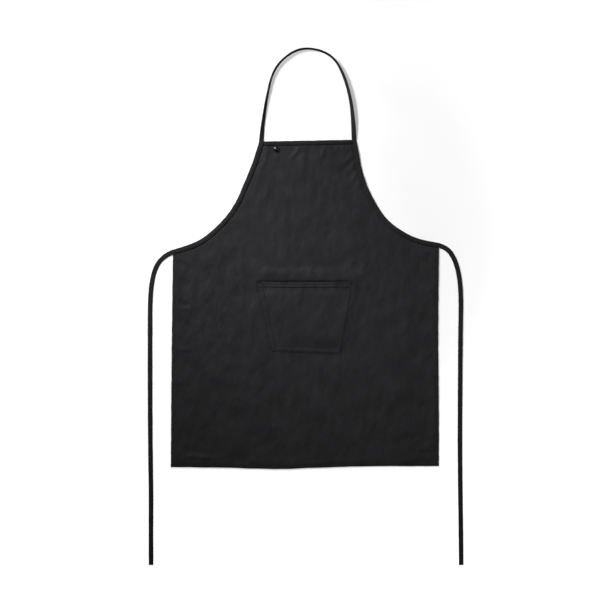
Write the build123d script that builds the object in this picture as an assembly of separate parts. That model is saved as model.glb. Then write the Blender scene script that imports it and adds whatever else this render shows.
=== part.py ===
from build123d import *
import math
import os

# A cloth bib apron, laid flat on its back with its ties drawn down beside it.
# Millimetres. +X runs across the apron to the viewer's right, +Y from the hem
# towards the neck, and +Z out of the front of the cloth. The origin is under the
# middle of the sewn cloth, on the surface that the apron lies on.

# ---- cloth and tape ----
LAYER = 0.5                              # one layer of the cloth
HEM_THICKNESS = 2 * LAYER                # a hem is folded twice to the back
PANEL_BOTTOM = HEM_THICKNESS
PANEL_TOP = PANEL_BOTTOM + LAYER
TAPE_WIDTH = 12.5                        # the folded tape: armhole binding, ties and neck strap
TAPE_THICKNESS = 1.6
TAPE_LEG = 0.8                           # each side of the tape where it is folded round the cloth
TAPE_BOTTOM = PANEL_BOTTOM - TAPE_LEG
TAPE_TOP = PANEL_TOP + TAPE_LEG
SPINE = 1.0                              # how far the folded tape stands past the cut edge of the cloth
TOP_BINDING_WIDTH = 11.0
SIDE_HEM_WIDTH = 9.5
BOTTOM_HEM_WIDTH = 9.0

# ---- outline of the apron: (x, y) corners ----
BIB_LEFT = (-120.5, 425.0)
BIB_RIGHT = (134.5, 429.5)
SIDE_LEFT = (-346.3, 141.4)
SIDE_RIGHT = (351.0, 159.0)
HEM_LEFT = (-352.0, -428.0)
HEM_RIGHT = (351.0, -425.4)
LEFT_SIDE_POINTS = [(-349.9, -150.0)]
RIGHT_SIDE_POINTS = [(348.4, -82.0), (350.8, -265.0)]
BOTTOM_POINTS = [(-196.0, -430.0), (-128.0, -432.2), (-60.0, -433.4), (8.0, -430.6), (110.0, -427.0), (178.0, -425.8)]
LEFT_ARMHOLE_CORNERS = [(-137.8, 367.5), (-191.8, 239.6), (-272.4, 164.7)]
RIGHT_ARMHOLE_CORNERS = [(156.0, 312.1), (215.8, 213.0), (289.6, 171.1)]
ARMHOLE_ROUNDNESS = 0.49                 # share of the shorter run that a corner's arc takes

# ---- fold lines of the strap and the ties ----
LEFT_TIE_FOLD_X = -347.0
RIGHT_TIE_FOLD_X = 351.7

# ---- routes of the free tapes along their centre lines ----
ROUTE_ROUNDNESS = 0.45
FLAT_CENTRE = 1.1                        # height of the strap's centre where it lies flat
EDGE_CENTRE = 6.7                        # and where it stands on its edge
TIE_CENTRE = TAPE_THICKNESS / 2
NECK_STRAP_ROUTE = [
    (-114.6, 425.1, 1.1), (-109.5, 480.0, 4.8), (-99.5, 545.0, 6.2), (-86.0, 606.0, 6.6),
    (-59.0, 649.0, 6.7), (-12.0, 674.0, 6.7), (40.0, 668.0, 6.7), (78.0, 643.5, 6.6),
    (104.0, 596.0, 6.4), (118.0, 541.0, 5.8), (125.5, 485.0, 4.6), (128.6, 429.4, 1.1),
]
LEFT_TIE_ROUTE = [
    (-347.0, 134.7), (-365.0, 127.6), (-387.5, 104.5), (-400.0, 68.0), (-405.8, 15.0), (-406.1, -80.0),
    (-406.0, -235.0), (-405.2, -380.0), (-403.2, -500.0), (-403.8, -600.0), (-403.4, -684.6),
]
RIGHT_TIE_ROUTE = [
    (351.7, 152.5), (370.0, 146.3), (386.4, 127.0), (398.4, 98.0), (406.0, 60.0), (408.8, 5.0),
    (407.2, -80.0), (406.2, -230.0), (405.6, -370.0), (406.6, -480.0), (408.2, -590.0), (409.0, -684.6),
]
STRAP_STATIONS = 60                      # sections along the strap, which turns from flat to on edge
ROOT_OVERRUN = 9.0                       # a tape is made this much longer at its root, then cut at its fold line

# ---- patch pocket ----
POCKET_CORNERS = [(-126.0, 59.5), (-87.0, -122.5), (92.0, -129.5), (126.0, 59.5)]
POCKET_SEAM_WIDTH = 14.0                 # sewn margin down both sides and along the bottom
POCKET_THICKNESS = 0.8                   # the cloth with its edges turned under
POCKET_GAPE = 6.0                        # clear height inside the pocket
POCKET_SIDE_SLOPE = 26.0                 # run of the slope from the side seams up to the front
POCKET_BOTTOM_SLOPE = 60.0               # and from the bottom seam
MOUTH_HEM_DEPTH = 16.0
MOUTH_HEM_THICKNESS = 0.8

# ---- press stud ----
STUD_X = -74.7
STUD_Y = 404.2
STUD_CAP_RADIUS = 6.5
STUD_CAP_HEIGHT = 2.6
STUD_CAP_RIM = 0.7
STUD_POST_RADIUS = 1.5
STUD_RIVET_RADIUS = 2.4                  # the post's end, spread against the web of the socket
STUD_RIVET_THICKNESS = 0.25
STUD_HOLE_RADIUS = 1.6
STUD_RISE = 1.6                          # the cloth rises this much over the back of the stud
STUD_RISE_TOP_RADIUS = 7.0
STUD_RISE_FOOT_RADIUS = 12.5
SOCKET_RADIUS = 5.5
SOCKET_MOUTH_RADIUS = 3.7
SOCKET_MOUTH_DEPTH = 1.3
SPRING_RADIUS = 3.2
SPRING_WIRE_RADIUS = 0.35

# ---- thread ----
THREAD_WIDTH = 0.5
THREAD_HEIGHT = 0.15
BINDING_SEAM_INSET = 11.0                # from the folded edge of the tape
TOP_SEAM_INSET = 9.6
SIDE_SEAM_INSET = 8.0
BOTTOM_SEAM_INSET = 8.0
POCKET_SEAM_INSETS = (1.6, 12.0)
MOUTH_SEAM_INSETS = (7.5, 14.5)
BARTACK_LENGTH = 10.0
BARTACK_WIDTH = 2.0
BARTACK_HEIGHT = 0.4
TIE_BARTACK_LENGTH = 8.6
TIE_BARTACK_INSET = 4.0                  # from the fold line of a tie
POCKET_SEAM_TOP = 5.5                    # the pocket's edge seams end this far below its mouth
POCKET_BARTACK_INSET = 6.8               # from the mouth's corner to the middle of its bartack
POCKET_BARTACK_DROP = 2.6                # and from the mouth's edge
SEAM_END_GAP = 1.0                       # a seam stops this far short of a tape or another seam

FAR = 2000.0                             # larger than the apron, for cutting solids


# ---------------------------------------------------------------- geometry helpers

def distance(a, b):
    return (Vector(*b) - Vector(*a)).length


def corner_radii(points, roundness):
    """The radius of a tangent arc at each inner point that takes its share of the shorter run."""
    radii = []
    for before, here, after in zip(points, points[1:], points[2:]):
        turn = (Vector(*here) - Vector(*before)).get_angle(Vector(*after) - Vector(*here))
        shorter = min(distance(before, here), distance(here, after))
        radii.append(roundness * shorter / math.tan(math.radians(turn) / 2))
    return radii


def moved_out(end, neighbour, overrun):
    """An end point moved outwards along its own run."""
    return Vector(*end) + (Vector(*end) - Vector(*neighbour)).normalized() * overrun


def rounded_line(points, roundness, start_overrun=0.0, end_overrun=0.0):
    """Straight runs joined by tangent arcs, with its end runs made longer by the overruns."""
    first = moved_out(points[0], points[1], start_overrun)
    last = moved_out(points[-1], points[-2], end_overrun)
    return FilletPolyline(first, *points[1:-1], last, radius=corner_radii(points, roundness))


def slab(flat, bottom, top):
    """A flat shape given thickness between two heights."""
    return extrude(Pos(0, 0, bottom) * flat, amount=top - bottom, dir=(0, 0, 1))


def inner_strip(line, width):
    """The strip of the given width along an edge of the apron, on the side where the cloth is."""
    wire = Wire(line.edges())
    strips = [make_face(wire.offset_2d(width, side=side)) for side in (Side.LEFT, Side.RIGHT)]
    return min(strips, key=lambda strip: strip.center().length)


def seam(line, inset, height):
    """A row of thread at a distance from an edge of the apron, on cloth at the given height."""
    outer = slab(inner_strip(line, inset + THREAD_WIDTH / 2), height, height + THREAD_HEIGHT)
    return outer - slab(inner_strip(line, inset - THREAD_WIDTH / 2), height, height + THREAD_HEIGHT)


# ---------------------------------------------------------------- edges of the apron

def left_armhole(overrun=0.0):
    return rounded_line([BIB_LEFT, *LEFT_ARMHOLE_CORNERS, SIDE_LEFT], ARMHOLE_ROUNDNESS, overrun, overrun)


def right_armhole(overrun=0.0):
    return rounded_line([BIB_RIGHT, *RIGHT_ARMHOLE_CORNERS, SIDE_RIGHT], ARMHOLE_ROUNDNESS, overrun, overrun)


def top_edge(overrun=0.0):
    return Line(moved_out(BIB_LEFT, BIB_RIGHT, overrun), moved_out(BIB_RIGHT, BIB_LEFT, overrun))


def left_side():
    return Polyline(SIDE_LEFT, *LEFT_SIDE_POINTS, HEM_LEFT)


def right_side():
    return Polyline(SIDE_RIGHT, *RIGHT_SIDE_POINTS, HEM_RIGHT)


def bottom_edge():
    return Polyline(HEM_LEFT, *BOTTOM_POINTS, HEM_RIGHT)


def apron_outline():
    """The whole sewn apron seen from the front, with its bindings."""
    edges = [left_armhole(), left_side(), bottom_edge(), right_side(), right_armhole(), top_edge()]
    return make_face(Wire([edge for line in edges for edge in line.edges()]))


def outline_block():
    return slab(apron_outline(), -FAR, FAR)


# ---------------------------------------------------------------- fold planes

def above_top_edge():
    """The space beyond the bib's top edge, where the neck strap folds."""
    line = top_edge(FAR)
    up = Vector(0, FAR)
    corners = [line @ 0, line @ 1, line @ 1 + up, line @ 0 + up]
    return slab(make_face(Polyline(*corners, close=True)), -FAR, FAR)


def beyond_left_fold():
    return Pos(LEFT_TIE_FOLD_X - FAR / 2, 0, 0) * Box(FAR, FAR, FAR)


def beyond_right_fold():
    return Pos(RIGHT_TIE_FOLD_X + FAR / 2, 0, 0) * Box(FAR, FAR, FAR)


# ---------------------------------------------------------------- the cloth

def body_panel():
    """The cloth, cut back under its bindings, with a low rise over the back of the press stud."""
    panel = slab(apron_outline(), PANEL_BOTTOM, PANEL_TOP)
    for line in (left_armhole(ROOT_OVERRUN), right_armhole(ROOT_OVERRUN), top_edge(ROOT_OVERRUN)):
        panel -= slab(inner_strip(line, SPINE), PANEL_BOTTOM, PANEL_TOP)
    rise = Cone(STUD_RISE_FOOT_RADIUS, STUD_RISE_TOP_RADIUS, STUD_RISE)
    panel += Pos(STUD_X, STUD_Y, PANEL_TOP + STUD_RISE / 2) * rise
    panel -= Pos(STUD_X, STUD_Y, PANEL_BOTTOM + STUD_RISE / 2) * rise
    panel -= Pos(STUD_X, STUD_Y, PANEL_TOP) * Cylinder(STUD_HOLE_RADIUS, FAR)
    return panel


def bottom_hem():
    return slab(inner_strip(bottom_edge(), BOTTOM_HEM_WIDTH), 0, HEM_THICKNESS) & outline_block()


def side_hem(side, armhole):
    """A side hem between the bottom hem and the armhole's binding."""
    hem = slab(inner_strip(side, SIDE_HEM_WIDTH), 0, HEM_THICKNESS) & outline_block()
    hem -= slab(inner_strip(bottom_edge(), BOTTOM_HEM_WIDTH), 0, HEM_THICKNESS)
    return hem - slab(inner_strip(armhole, TAPE_WIDTH), 0, HEM_THICKNESS)


# ---------------------------------------------------------------- the folded tape

def tape_block(line, width):
    return slab(inner_strip(line, width), TAPE_BOTTOM, TAPE_TOP)


def armhole_binding(armhole, beyond_fold, panel):
    """Tape folded round the armhole's edge, from the bib's top edge to the tie's fold line."""
    return tape_block(armhole, TAPE_WIDTH) - above_top_edge() - beyond_fold - panel


def top_binding(panel):
    """Tape folded round the bib's top edge, between the two armhole bindings."""
    binding = tape_block(top_edge(ROOT_OVERRUN), TOP_BINDING_WIDTH) & outline_block()
    for armhole in (left_armhole(ROOT_OVERRUN), right_armhole(ROOT_OVERRUN)):
        binding -= tape_block(armhole, TAPE_WIDTH)
    return binding - panel


def tie(route, beyond_fold):
    """A waist tie lying flat, cut off square at its free end and along its fold line at its root."""
    points = [(x, y, TIE_CENTRE) for x, y in route]
    path = rounded_line(points, ROUTE_ROUNDNESS, start_overrun=ROOT_OVERRUN)
    across = (path % 0).cross(Vector(0, 0, 1))
    section = Plane(path @ 0, x_dir=across, z_dir=path % 0) * Rectangle(TAPE_WIDTH, TAPE_THICKNESS)
    report_cord("tie", points, path)
    return sweep(section, path) & beyond_fold


def strap_section(place, direction):
    """The tape's section, its upper edge leaning outwards, and standing up more the higher its centre is."""
    share = (place.Z - FLAT_CENTRE) / (EDGE_CENTRE - FLAT_CENTRE)
    lean = math.asin(min(max(share, 0), 1))
    outwards = Vector(-direction.Y, direction.X, 0).normalized()
    across = outwards * math.cos(lean) + Vector(0, 0, math.sin(lean))
    return Plane(place, x_dir=across, z_dir=direction) * Rectangle(TAPE_WIDTH, TAPE_THICKNESS)


def neck_strap():
    """The loop of tape, flat where it leaves the bib and on its edge round the top."""
    path = rounded_line(NECK_STRAP_ROUTE, ROUTE_ROUNDNESS, ROOT_OVERRUN, ROOT_OVERRUN)
    stations = [i / STRAP_STATIONS for i in range(STRAP_STATIONS + 1)]
    sections = [strap_section(path @ u, path % u) for u in stations]
    report_cord("neck strap", NECK_STRAP_ROUTE, path)
    return loft(sections, ruled=True) & above_top_edge()


def report_cord(name, points, path):
    radii = corner_radii(points, ROUTE_ROUNDNESS)
    print(name, "path", round(path.length), "mm, radii", [round(radius) for radius in radii])


# ---------------------------------------------------------------- the pocket

def crossing(a, b, c, d):
    """Where the line through a and b meets the line through c and d."""
    along = b - a
    other = d - c
    share = (c - a).cross(other).Z / along.cross(other).Z
    return a + along * share


def pocket_section(side_inset, bottom_inset, drop=0.0):
    """The pocket's outline with its sides and bottom moved inwards, and its mouth moved down."""
    corners = [Vector(*corner) for corner in POCKET_CORNERS]
    lines = []
    for (a, b), inset in zip(zip(corners, corners[1:]), (side_inset, bottom_inset, side_inset)):
        inwards = Vector(a.Y - b.Y, b.X - a.X).normalized() * inset
        lines.append((a + inwards, b + inwards))
    mouth = (corners[0] - Vector(0, drop), corners[3] - Vector(0, drop))
    left, bottom, right = lines
    points = [crossing(*mouth, *left), crossing(*left, *bottom), crossing(*bottom, *right)]
    return make_face(Polyline(*points, crossing(*right, *mouth), close=True))


def pocket_hollow(bottom):
    """The space under the pocket's front, from its seams up to its flat part, set at a height."""
    foot = pocket_section(POCKET_SEAM_WIDTH, POCKET_SEAM_WIDTH, -ROOT_OVERRUN)
    side_inset = POCKET_SEAM_WIDTH + POCKET_SIDE_SLOPE
    crown = pocket_section(side_inset, POCKET_SEAM_WIDTH + POCKET_BOTTOM_SLOPE, -ROOT_OVERRUN)
    return loft([Pos(0, 0, bottom) * foot, Pos(0, 0, bottom + POCKET_GAPE) * crown])


def below_mouth(drop, depth):
    """The space from a distance below the pocket's mouth down over a depth."""
    mouth = POCKET_CORNERS[0][1]
    return Pos(0, mouth - drop - depth / 2, 0) * Box(FAR, depth, FAR)


def pocket_front():
    top = PANEL_TOP + POCKET_THICKNESS
    front = slab(pocket_section(0, 0), PANEL_TOP, top) + (pocket_hollow(top) & below_mouth(0, FAR))
    return front - pocket_hollow(PANEL_TOP)


def pocket_mouth_hem():
    """The mouth's edge, folded twice to the inside of the front."""
    hem = pocket_hollow(PANEL_TOP) - pocket_hollow(PANEL_TOP - MOUTH_HEM_THICKNESS)
    return hem & below_mouth(0, MOUTH_HEM_DEPTH) & Pos(0, 0, PANEL_TOP + FAR / 2) * Box(FAR, FAR, FAR)


def pocket_edge_stitching():
    """Two rows down both sides of the pocket and along its bottom."""
    top = PANEL_TOP + POCKET_THICKNESS
    rows = []
    for inset in POCKET_SEAM_INSETS:
        outer = pocket_section(inset - THREAD_WIDTH / 2, inset - THREAD_WIDTH / 2)
        inner = pocket_section(inset + THREAD_WIDTH / 2, inset + THREAD_WIDTH / 2)
        row = slab(outer, top, top + THREAD_HEIGHT) - slab(inner, top, top + THREAD_HEIGHT)
        rows.append(row & below_mouth(POCKET_SEAM_TOP, FAR))
    return Compound(children=[solid for row in rows for solid in row.solids()])


def pocket_mouth_stitching():
    """Two rows across the front that hold the mouth's hem."""
    top = PANEL_TOP + POCKET_THICKNESS
    skin = pocket_hollow(top + THREAD_HEIGHT) - pocket_hollow(top)
    skin = skin & Pos(0, 0, top + THREAD_HEIGHT + FAR / 2) * Box(FAR, FAR, FAR)
    rows = [skin & below_mouth(inset - THREAD_WIDTH / 2, THREAD_WIDTH) for inset in MOUTH_SEAM_INSETS]
    return Compound(children=[solid for row in rows for solid in row.solids()])


# ---------------------------------------------------------------- bartacks

def pocket_bartacks():
    """A short bar of close stitches at each end of the pocket's mouth."""
    height = PANEL_TOP + POCKET_THICKNESS + BARTACK_HEIGHT / 2
    bars = []
    for corner, side in ((POCKET_CORNERS[0], 1), (POCKET_CORNERS[3], -1)):
        x = corner[0] + side * POCKET_BARTACK_INSET
        place = Pos(x, corner[1] - POCKET_BARTACK_DROP, height)
        bars.append(place * Box(BARTACK_LENGTH, BARTACK_WIDTH, BARTACK_HEIGHT))
    return Compound(children=bars)


def tie_root_bartacks():
    """A bar of close stitches across the tape where each tie begins."""
    bars = []
    for route in (LEFT_TIE_ROUTE, RIGHT_TIE_ROUTE):
        root = Vector(*route[0])
        direction = (Vector(*route[1]) - root).normalized()
        angle = math.degrees(math.atan2(direction.Y, direction.X))
        place = root - direction * (TIE_BARTACK_INSET + BARTACK_WIDTH)
        bar = Box(BARTACK_WIDTH, TIE_BARTACK_LENGTH, BARTACK_HEIGHT)
        bars.append(Pos(place.X, place.Y, TAPE_TOP + BARTACK_HEIGHT / 2) * Rot(0, 0, angle) * bar)
    return Compound(children=bars)


# ---------------------------------------------------------------- the press stud

def stud_at(height):
    return Pos(STUD_X, STUD_Y, height)


def disc(radius, bottom, top):
    return stud_at((bottom + top) / 2) * Cylinder(radius, top - bottom)


def snap_cap():
    """The domed cap on the front, whose post goes through the cloth and is spread behind it."""
    seat = PANEL_TOP + STUD_RISE
    rim_top = seat + STUD_CAP_RIM
    crown = STUD_CAP_HEIGHT - STUD_CAP_RIM
    ball_radius = (STUD_CAP_RADIUS ** 2 + crown ** 2) / (2 * crown)
    ball = stud_at(rim_top + crown - ball_radius) * Sphere(ball_radius)
    dome = ball & disc(STUD_CAP_RADIUS, rim_top, rim_top + 2 * crown)
    web = SOCKET_MOUTH_DEPTH
    post = disc(STUD_POST_RADIUS, web - STUD_RIVET_THICKNESS, seat)
    rivet = disc(STUD_RIVET_RADIUS, web - STUD_RIVET_THICKNESS, web)
    return dome + disc(STUD_CAP_RADIUS, seat, rim_top) + post + rivet


def snap_socket():
    """The socket behind the cloth, with its mouth on the underside."""
    socket = disc(SOCKET_RADIUS, 0, PANEL_BOTTOM + STUD_RISE)
    socket -= disc(SOCKET_MOUTH_RADIUS, 0, SOCKET_MOUTH_DEPTH)
    return socket - disc(STUD_HOLE_RADIUS, 0, PANEL_BOTTOM + STUD_RISE)


def snap_spring():
    """The wire ring in the socket's mouth that grips a mating stud."""
    return stud_at(SOCKET_MOUTH_DEPTH / 2) * Torus(SPRING_RADIUS, SPRING_WIRE_RADIUS)


# ---------------------------------------------------------------- seams

def armhole_stitching(armhole, beyond_fold):
    return seam(armhole, BINDING_SEAM_INSET, TAPE_TOP) - above_top_edge() - beyond_fold


def top_stitching():
    row = seam(top_edge(ROOT_OVERRUN), TOP_SEAM_INSET, TAPE_TOP) & outline_block()
    for armhole in (left_armhole(ROOT_OVERRUN), right_armhole(ROOT_OVERRUN)):
        row -= slab(inner_strip(armhole, TAPE_WIDTH + SEAM_END_GAP), TAPE_TOP, TAPE_TOP + THREAD_HEIGHT)
    return row


def side_stitching(side, armhole):
    row = seam(side, SIDE_SEAM_INSET, PANEL_TOP) & outline_block()
    bottom_strip = inner_strip(bottom_edge(), BOTTOM_SEAM_INSET + SEAM_END_GAP)
    row -= slab(bottom_strip, PANEL_TOP, PANEL_TOP + THREAD_HEIGHT)
    return row - slab(inner_strip(armhole, TAPE_WIDTH + SEAM_END_GAP), PANEL_TOP, PANEL_TOP + THREAD_HEIGHT)


def bottom_stitching():
    return seam(bottom_edge(), BOTTOM_SEAM_INSET, PANEL_TOP) & outline_block()


# ---------------------------------------------------------------- assembly

def all_nodes():
    panel = body_panel()
    left = left_armhole(ROOT_OVERRUN)
    right = right_armhole(ROOT_OVERRUN)
    return {
        "body_panel": panel,
        "bottom_hem": bottom_hem(),
        "left_side_hem": side_hem(left_side(), left),
        "right_side_hem": side_hem(right_side(), right),
        "bib_top_binding": top_binding(panel),
        "left_armhole_binding": armhole_binding(left, beyond_left_fold(), panel),
        "right_armhole_binding": armhole_binding(right, beyond_right_fold(), panel),
        "neck_strap": neck_strap(),
        "left_waist_tie": tie(LEFT_TIE_ROUTE, beyond_left_fold()),
        "right_waist_tie": tie(RIGHT_TIE_ROUTE, beyond_right_fold()),
        "pocket_front": pocket_front(),
        "pocket_mouth_hem": pocket_mouth_hem(),
        "snap_cap": snap_cap(),
        "snap_socket": snap_socket(),
        "snap_spring": snap_spring(),
        "bib_top_stitching": top_stitching(),
        "left_armhole_stitching": armhole_stitching(left, beyond_left_fold()),
        "right_armhole_stitching": armhole_stitching(right, beyond_right_fold()),
        "left_hem_stitching": side_stitching(left_side(), left),
        "right_hem_stitching": side_stitching(right_side(), right),
        "bottom_hem_stitching": bottom_stitching(),
        "pocket_edge_stitching": pocket_edge_stitching(),
        "pocket_mouth_stitching": pocket_mouth_stitching(),
        "pocket_bartacks": pocket_bartacks(),
        "tie_root_bartacks": tie_root_bartacks(),
    }


os.makedirs("parts", exist_ok=True)
for node, shape in all_nodes().items():
    export_step(shape, f"parts/{node}.step")
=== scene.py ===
import math

import bmesh
import bpy
import numpy as np
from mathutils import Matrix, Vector
from mathutils.geometry import delaunay_2d_cdt


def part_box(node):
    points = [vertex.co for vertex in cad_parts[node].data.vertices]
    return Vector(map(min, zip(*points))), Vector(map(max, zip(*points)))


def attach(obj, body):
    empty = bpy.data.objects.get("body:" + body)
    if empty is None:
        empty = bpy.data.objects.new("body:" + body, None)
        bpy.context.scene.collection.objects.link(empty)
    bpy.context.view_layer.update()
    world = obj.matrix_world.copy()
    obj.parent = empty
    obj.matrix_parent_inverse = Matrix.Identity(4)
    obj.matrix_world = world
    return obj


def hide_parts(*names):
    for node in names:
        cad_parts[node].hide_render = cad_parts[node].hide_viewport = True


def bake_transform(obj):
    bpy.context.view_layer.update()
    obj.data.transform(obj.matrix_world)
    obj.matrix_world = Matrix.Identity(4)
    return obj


# A cotton apron laid flat on its back, with its neck loop standing on its edge
# and its two waist ties drawn down beside it. Lengths in this script are
# millimetres until a mesh is made; Blender gets metres.

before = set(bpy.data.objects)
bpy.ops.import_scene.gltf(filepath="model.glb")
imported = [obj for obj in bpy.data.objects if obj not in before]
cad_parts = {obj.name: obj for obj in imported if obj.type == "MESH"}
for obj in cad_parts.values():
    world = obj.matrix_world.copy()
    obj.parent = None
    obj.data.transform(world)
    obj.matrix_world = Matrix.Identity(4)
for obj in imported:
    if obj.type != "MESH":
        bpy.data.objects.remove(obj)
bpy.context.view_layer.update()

MM = 0.001

# ---- the cloth and the tape, as in the CAD ----
LAYER = 0.5                              # one layer of cloth
PANEL_TOP = 1.5
TAPE_WIDTH = 12.5
SPINE = 1.0                              # how far the cloth's cut edge lies inside its binding
TOP_BINDING_WIDTH = 11.0
SIDE_HEM = 9.5
BOTTOM_HEM = 9.0
HEM_SEAM = 8.0
HEM_NOSE = 0.75                          # radius of a hem's outer fold

# ---- outline corners ----
BIB_LEFT = (-120.5, 425.0)
BIB_RIGHT = (134.5, 429.5)
SIDE_LEFT = (-346.3, 141.4)
SIDE_RIGHT = (351.0, 159.0)
LEFT_SIDE_POINTS = [(-349.9, -150.0)]
RIGHT_SIDE_POINTS = [(348.4, -82.0), (350.8, -265.0)]
HEM_LINE = [
    (-352.0, -428.0), (-196.0, -430.0), (-128.0, -432.2), (-60.0, -433.4),
    (8.0, -430.6), (110.0, -427.0), (178.0, -425.8), (351.0, -425.4),
]
LEFT_ARMHOLE = [BIB_LEFT, (-137.8, 367.5), (-191.8, 239.6), (-272.4, 164.7), SIDE_LEFT]
RIGHT_ARMHOLE = [BIB_RIGHT, (156.0, 312.1), (215.8, 213.0), (289.6, 171.1), SIDE_RIGHT]
ARMHOLE_ROUNDNESS = 0.49
POCKET = np.array([(-126.0, 58.2), (-87.0, -124.6), (92.0, -132.4), (126.0, 58.2)])
POCKET_WIDTH = POCKET[3, 0] - POCKET[0, 0]
POCKET_DEPTH = POCKET[0, 1] - POCKET[1, 1]

# ---- routes of the free tapes, with the height of their centre lines ----
FLAT_CENTRE = 1.1
EDGE_CENTRE = 6.7
NECK_STRAP_ROUTE = [
    (-114.6, 425.1, 1.1), (-112.8, 449, 4.4), (-109.2, 480, 5.15), (-99.2, 545, 6.0), (-85.4, 604.5, 6.3),
    (-56.3, 643.6, 6.4), (-11.5, 669.3, 6.45), (39.3, 664.7, 6.45), (78.2, 642, 6.4), (103, 595, 6.1),
    (118.4, 541, 5.5), (126, 485, 4.7), (128.6, 429.4, 1.1),
]
LEFT_TIE_ROUTE = [
    (-347.0, 134.7, 1.1), (-365.0, 127.6, 0.9), (-387.5, 104.5, 0.8), (-400.0, 68.0, 0.8),
    (-405.8, 15.0, 0.8), (-406.1, -80.0, 0.8), (-406.0, -235.0, 0.8), (-405.2, -380.0, 0.8),
    (-403.2, -500.0, 0.8), (-403.8, -600.0, 0.8), (-403.4, -684.6, 0.8),
]
RIGHT_TIE_ROUTE = [
    (351.7, 152.5, 1.1), (370.0, 146.3, 0.9), (386.4, 127.0, 0.8), (398.4, 98.0, 0.8), (406.0, 60.0, 0.8),
    (408.8, 5.0, 0.8), (407.2, -80.0, 0.8), (406.2, -230.0, 0.8), (405.6, -370.0, 0.8), (406.6, -480.0, 0.8),
    (408.2, -590.0, 0.8), (409.0, -684.6, 0.8),
]


# ---- camera ----

def placed(name, data):
    """A new object in the scene."""
    thing = bpy.data.objects.new(name, data)
    bpy.context.scene.collection.objects.link(thing)
    return thing


def add_camera():
    """Straight down from above, framed as an upright picture of the laid-out apron."""
    data = bpy.data.cameras.new("camera")
    data.sensor_width = 36.0
    data.lens = 91.6
    data.clip_end = 50.0
    camera = placed("camera", data)
    camera.location = (-0.0133, 0.0097, 4.0)
    bpy.context.scene.camera = camera


add_camera()


# ---- materials ----

GLOW_CENTRE = (0.0, 0.15, 0.0)
GLOW_REACH = 1.1
FLOOR_GLOW = [(0.2, 0.10), (0.29, 0.15), (0.42, 0.28), (0.55, 0.49), (0.73, 0.75), (0.95, 1.0)]


class Surface:
    """A new material, with short ways to add nodes to it."""

    def __init__(self, name, roughness, specular):
        self.material = bpy.data.materials.new(name)
        self.material.use_nodes = True
        self.tree = self.material.node_tree
        self.place = self.add("ShaderNodeTexCoord").outputs["Object"]
        self.fix("Roughness", roughness)
        self.fix("Specular IOR Level", specular)

    def socket(self, name):
        return self.tree.nodes["Principled BSDF"].inputs[name]

    def fix(self, name, value):
        """Sets one of the shader's sockets to a plain value."""
        self.socket(name).default_value = value

    def drive(self, name, source):
        """Leads a node's output into one of the shader's sockets."""
        self.link(source, self.socket(name))

    def add(self, kind, **settings):
        node = self.tree.nodes.new(kind)
        for key, value in settings.items():
            setattr(node, key, value)
        return node

    def link(self, source, target):
        self.tree.links.new(source, target)

    def turned(self, angle, stretch=(1, 1, 1)):
        mapping = self.add("ShaderNodeMapping")
        mapping.inputs["Rotation"].default_value = (0, 0, math.radians(angle))
        mapping.inputs["Scale"].default_value = stretch
        self.link(self.place, mapping.inputs["Vector"])
        return mapping.outputs["Vector"]

    def waves(self, place, pitch_mm, distortion=0.0, profile="SIN"):
        """Parallel ribs across X, a pitch apart."""
        wave = self.add("ShaderNodeTexWave", wave_type="BANDS", bands_direction="X", wave_profile=profile)
        wave.inputs["Scale"].default_value = 2 * math.pi / (20 * pitch_mm * MM)
        wave.inputs["Distortion"].default_value = distortion
        wave.inputs["Detail Scale"].default_value = 1.5
        self.link(place, wave.inputs["Vector"])
        return wave.outputs["Fac"]

    def noise(self, size_mm, detail=2.0, place=None):
        noise = self.add("ShaderNodeTexNoise")
        noise.inputs["Scale"].default_value = 1 / (size_mm * MM)
        noise.inputs["Detail"].default_value = detail
        self.link(place or self.place, noise.inputs["Vector"])
        return noise.outputs["Fac"]

    def math(self, operation, a, b):
        node = self.add("ShaderNodeMath", operation=operation)
        for socket, value in zip(node.inputs, (a, b)):
            if isinstance(value, (int, float)):
                socket.default_value = value
            else:
                self.link(value, socket)
        return node.outputs[0]

    def weighted(self, *terms):
        """The sum of (value, weight) pairs."""
        total = None
        for value, weight in terms:
            term = self.math("MULTIPLY", value, weight)
            total = term if total is None else self.math("ADD", total, term)
        return total

    def ramp(self, factor, stops):
        """A colour ramp; stops are (position, (r, g, b))."""
        node = self.add("ShaderNodeValToRGB")
        elements = node.color_ramp.elements
        while len(elements) < len(stops):
            elements.new(0.5)
        for element, (position, colour) in zip(elements, stops):
            element.position = position
            element.color = (*colour, 1)
        self.link(factor, node.inputs["Fac"])
        return node.outputs["Color"]

    def bump(self, height, depth_mm, strength=1.0):
        node = self.add("ShaderNodeBump")
        node.inputs["Strength"].default_value = strength
        node.inputs["Distance"].default_value = depth_mm * MM
        self.link(height, node.inputs["Height"])
        self.drive("Normal", node.outputs["Normal"])


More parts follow.
